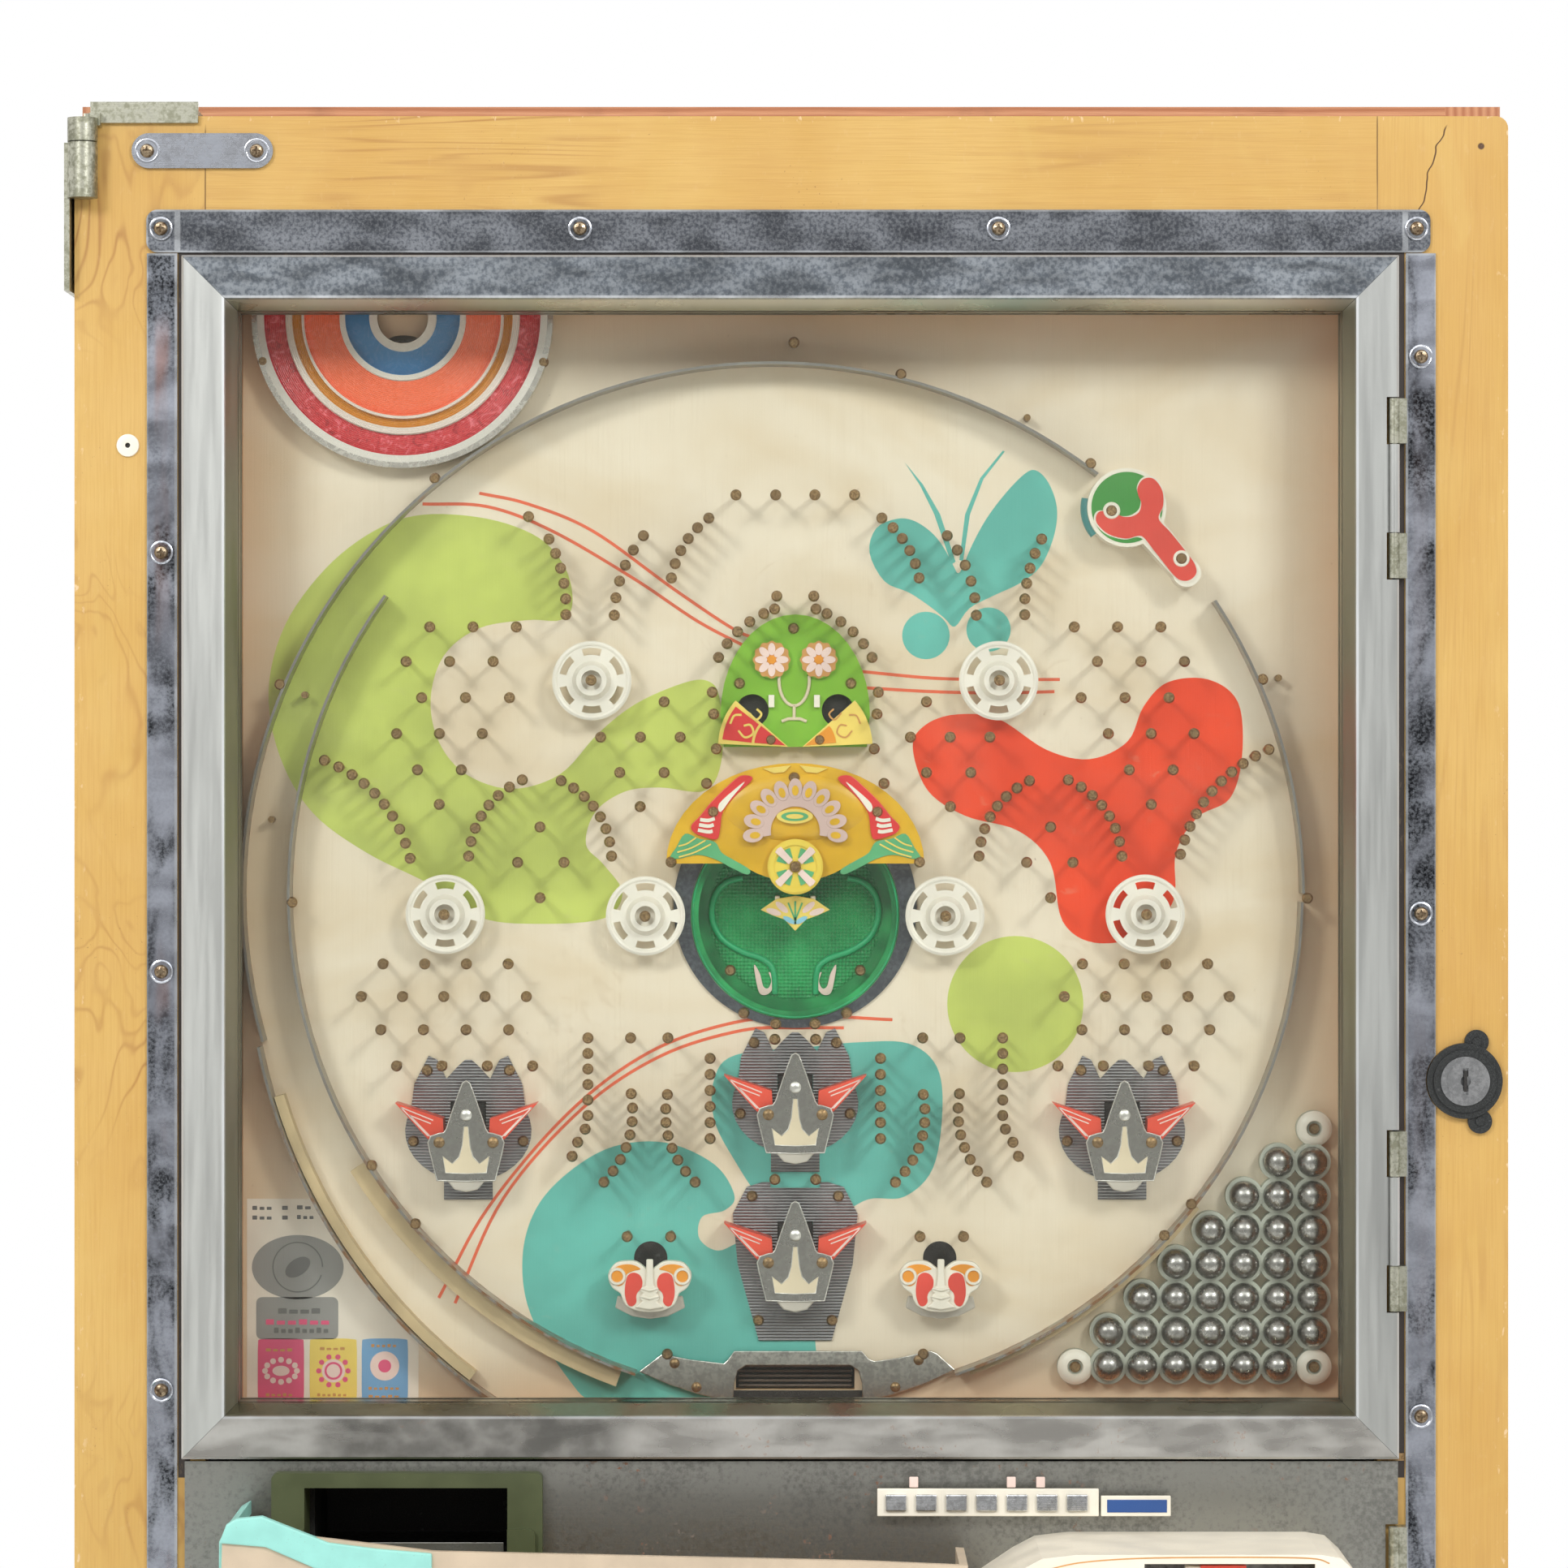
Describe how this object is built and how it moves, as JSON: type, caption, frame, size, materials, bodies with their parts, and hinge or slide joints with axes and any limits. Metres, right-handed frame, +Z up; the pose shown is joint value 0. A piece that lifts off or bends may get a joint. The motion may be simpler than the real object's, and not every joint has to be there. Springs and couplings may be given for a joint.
{
  "type": "pachinko machine",
  "caption": "Upright pinball-style ball machine: wooden frame, hinged door, glass-covered nail playfield, windmills, tulip pockets, trays and a lever shooter.",
  "frame": {"origin": "middle of the underside of the outer frame's bottom board", "axes": "+Z up, +X to the player's right, -Y towards the player"},
  "size_m": [0.5238, 0.211, 0.81],
  "materials": {
    "frame_wood": "lacquered plywood",
    "door_wood": "yellow lacquered wood",
    "box_wood": "plain wood",
    "board_paint": "printed plywood",
    "zinc": "aged zinc",
    "chrome_trim": "worn chrome",
    "screw_brass": "aged",
    "lock_black": "black enamel",
    "bright_chrome": "polished",
    "rail_steel": "dull",
    "ledge_plastic": "aged",
    "nail_brass": "aged",
    "lamp_plastic": "translucent",
    "red_plastic": "moulded",
    "green_plastic": "moulded",
    "yellow_plastic": "moulded",
    "dish_plastic": "translucent",
    "grey_steel": "pressed sheet",
    "cream_plastic": "moulded",
    "rack_plastic": "moulded",
    "ball_steel": "polished",
    "door_steel": "aged plating",
    "pane_glass": "clear",
    "olive_plastic": "moulded",
    "tray_plastic": "aged",
    "mech_zinc": "zinc plated sheet"
  },
  "bodies": {
    "outer_frame": {"outer_frame": "frame_wood", "frame_hinges": "zinc"},
    "front_door": {"door_frame": "door_wood", "door_hinge_leaves": "zinc", "mending_plate": "bright_chrome", "trim_strips": "chrome_trim", "face_screws": "screw_brass", "side_hinges": "zinc", "lock_escutcheon": "lock_black", "inner_box": "box_wood", "playfield_board": "board_paint", "guide_rails": "rail_steel", "lane_ledges": "ledge_plastic", "playfield_nails": "nail_brass", "lamp_lens": "lamp_plastic", "return_bumper": "red_plastic", "dome_ornament": "green_plastic", "canopy_ornament": "yellow_plastic", "green_dish": "dish_plastic", "dish_surround": "grey_steel", "tulip_front_plates": "grey_steel", "tulip_back_plates": "grey_steel", "pocket_cups": "cream_plastic", "out_hole_plate": "grey_steel", "ball_rack": "rack_plastic", "steel_balls": "ball_steel", "lower_panel": "door_steel", "lower_tray": "tray_plastic", "shooter_base": "bright_chrome", "shooter_spring": "mech_zinc"},
    "glass_door": {"glass_frame": "door_steel", "glass_panes": "pane_glass"},
    "tray_door": {"tray_door_plate": "door_steel", "payout_bezel": "olive_plastic", "upper_tray": "tray_plastic", "tray_cover": "cream_plastic"},
    "lock_cylinder": {"lock_cylinder": "bright_chrome"},
    "lock_bar": {"lock_bar": "mech_zinc"},
    "release_slide": {"release_slide": "red_plastic"},
    "ashtray": {"ashtray": "bright_chrome"},
    "shooter": {"shooter_lever": "bright_chrome", "shooter_hammer": "mech_zinc"},
    "spinner": {"spinner": "yellow_plastic"},
    "mech_panel": {"mech_panel": "mech_zinc", "ball_tank": "mech_zinc", "payout_unit": "mech_zinc"},
    "windmill_upper_left": {"windmill_upper_left": "cream_plastic"},
    "windmill_upper_right": {"windmill_upper_right": "cream_plastic"},
    "windmill_outer_left": {"windmill_outer_left": "cream_plastic"},
    "windmill_outer_right": {"windmill_outer_right": "cream_plastic"},
    "windmill_inner_left": {"windmill_inner_left": "cream_plastic"},
    "windmill_inner_right": {"windmill_inner_right": "cream_plastic"},
    "tulip_left_wing_l": {"tulip_left_wing_l": "red_plastic"},
    "tulip_left_wing_r": {"tulip_left_wing_r": "red_plastic"},
    "tulip_right_wing_l": {"tulip_right_wing_l": "red_plastic"},
    "tulip_right_wing_r": {"tulip_right_wing_r": "red_plastic"},
    "tulip_centre_wing_l": {"tulip_centre_wing_l": "red_plastic"},
    "tulip_centre_wing_r": {"tulip_centre_wing_r": "red_plastic"},
    "tulip_lower_wing_l": {"tulip_lower_wing_l": "red_plastic"},
    "tulip_lower_wing_r": {"tulip_lower_wing_r": "red_plastic"}
  },
  "joints": [
    {"name": "door_swing", "type": "hinge", "parent": "outer_frame", "child": "front_door", "pos_m": [-0.2563, -0.079, 0.405], "axis": [0, 0, -1], "range_deg": [0, 100]},
    {"name": "glass_door_swing", "type": "hinge", "parent": "front_door", "child": "glass_door", "pos_m": [0.218, -0.079, 0.535], "axis": [0, 0, 1], "range_deg": [0, 100]},
    {"name": "tray_door_swing", "type": "hinge", "parent": "front_door", "child": "tray_door", "pos_m": [0.218, -0.079, 0.26], "axis": [0, 0, 1], "range_deg": [0, 90]},
    {"name": "key_turn", "type": "hinge", "parent": "front_door", "child": "lock_cylinder", "pos_m": [0.244, -0.075, 0.454], "axis": [0, 1, 0], "range_deg": [0, 90]},
    {"name": "lock_bar_slide", "type": "slide", "parent": "front_door", "child": "lock_bar", "axis": [0, 0, 1], "range_m": [0, 0.01]},
    {"name": "ball_release", "type": "slide", "parent": "tray_door", "child": "release_slide", "axis": [-1, 0, 0], "range_m": [0, 0.015]},
    {"name": "ashtray_tilt", "type": "hinge", "parent": "front_door", "child": "ashtray", "pos_m": [-0.168, -0.084, 0.062], "axis": [1, 0, 0], "range_deg": [0, 50]},
    {"name": "shooter_turn", "type": "hinge", "parent": "front_door", "child": "shooter", "pos_m": [0.168, -0.084, 0.1], "axis": [0, 1, 0], "range_deg": [0, 35], "stiffness_Nm_per_rad": 0.8},
    {"name": "spinner_turn", "type": "hinge", "parent": "front_door", "child": "spinner", "pos_m": [0.0015, -0.046, 0.5312], "axis": [0, 1, 0], "continuous": true},
    {"name": "mech_panel_swing", "type": "hinge", "parent": "front_door", "child": "mech_panel", "pos_m": [-0.213, 0.005, 0.535], "axis": [0, 0, 1], "range_deg": [0, 80]},
    {"name": "windmill_upper_left_turn", "type": "hinge", "parent": "front_door", "child": "windmill_upper_left", "pos_m": [-0.0735, -0.04, 0.5997], "axis": [0, 1, 0], "continuous": true},
    {"name": "windmill_upper_right_turn", "type": "hinge", "parent": "front_door", "child": "windmill_upper_right", "pos_m": [0.0765, -0.04, 0.5997], "axis": [0, 1, 0], "continuous": true},
    {"name": "windmill_outer_left_turn", "type": "hinge", "parent": "front_door", "child": "windmill_outer_left", "pos_m": [-0.1275, -0.04, 0.5136], "axis": [0, 1, 0], "continuous": true},
    {"name": "windmill_outer_right_turn", "type": "hinge", "parent": "front_door", "child": "windmill_outer_right", "pos_m": [0.1305, -0.04, 0.5136], "axis": [0, 1, 0], "continuous": true},
    {"name": "windmill_inner_left_turn", "type": "hinge", "parent": "front_door", "child": "windmill_inner_left", "pos_m": [-0.0537, -0.04, 0.513], "axis": [0, 1, 0], "continuous": true},
    {"name": "windmill_inner_right_turn", "type": "hinge", "parent": "front_door", "child": "windmill_inner_right", "pos_m": [0.0567, -0.04, 0.513], "axis": [0, 1, 0], "continuous": true},
    {"name": "tulip_left_wing_l_turn", "type": "hinge", "parent": "front_door", "child": "tulip_left_wing_l", "pos_m": [-0.12934, -0.0385, 0.4315], "axis": [0, 1, 0], "range_deg": [0, 42]},
    {"name": "tulip_left_wing_r_turn", "type": "hinge", "parent": "front_door", "child": "tulip_left_wing_r", "pos_m": [-0.10966, -0.0385, 0.4315], "axis": [0, -1, 0], "range_deg": [0, 42]},
    {"name": "tulip_right_wing_l_turn", "type": "hinge", "parent": "front_door", "child": "tulip_right_wing_l", "pos_m": [0.11266, -0.0385, 0.4315], "axis": [0, 1, 0], "range_deg": [0, 42]},
    {"name": "tulip_right_wing_r_turn", "type": "hinge", "parent": "front_door", "child": "tulip_right_wing_r", "pos_m": [0.13234, -0.0385, 0.4315], "axis": [0, -1, 0], "range_deg": [0, 42]},
    {"name": "tulip_centre_wing_l_turn", "type": "hinge", "parent": "front_door", "child": "tulip_centre_wing_l", "pos_m": [-0.00834, -0.0385, 0.4417], "axis": [0, 1, 0], "range_deg": [0, 42]},
    {"name": "tulip_centre_wing_r_turn", "type": "hinge", "parent": "front_door", "child": "tulip_centre_wing_r", "pos_m": [0.01134, -0.0385, 0.4417], "axis": [0, -1, 0], "range_deg": [0, 42]},
    {"name": "tulip_lower_wing_l_turn", "type": "hinge", "parent": "front_door", "child": "tulip_lower_wing_l", "pos_m": [-0.00834, -0.0385, 0.3873], "axis": [0, 1, 0], "range_deg": [0, 42]},
    {"name": "tulip_lower_wing_r_turn", "type": "hinge", "parent": "front_door", "child": "tulip_lower_wing_r", "pos_m": [0.01134, -0.0385, 0.3873], "axis": [0, -1, 0], "range_deg": [0, 42]}
  ],
  "couplings": [
    {"joint": "key_turn", "follows": "lock_bar_slide", "rad_per_m": 157.08},
    {"joint": "tulip_left_wing_r_turn", "follows": "tulip_left_wing_l_turn", "ratio": 1},
    {"joint": "tulip_right_wing_r_turn", "follows": "tulip_right_wing_l_turn", "ratio": 1},
    {"joint": "tulip_centre_wing_r_turn", "follows": "tulip_centre_wing_l_turn", "ratio": 1},
    {"joint": "tulip_lower_wing_r_turn", "follows": "tulip_lower_wing_l_turn", "ratio": 1}
  ]
}
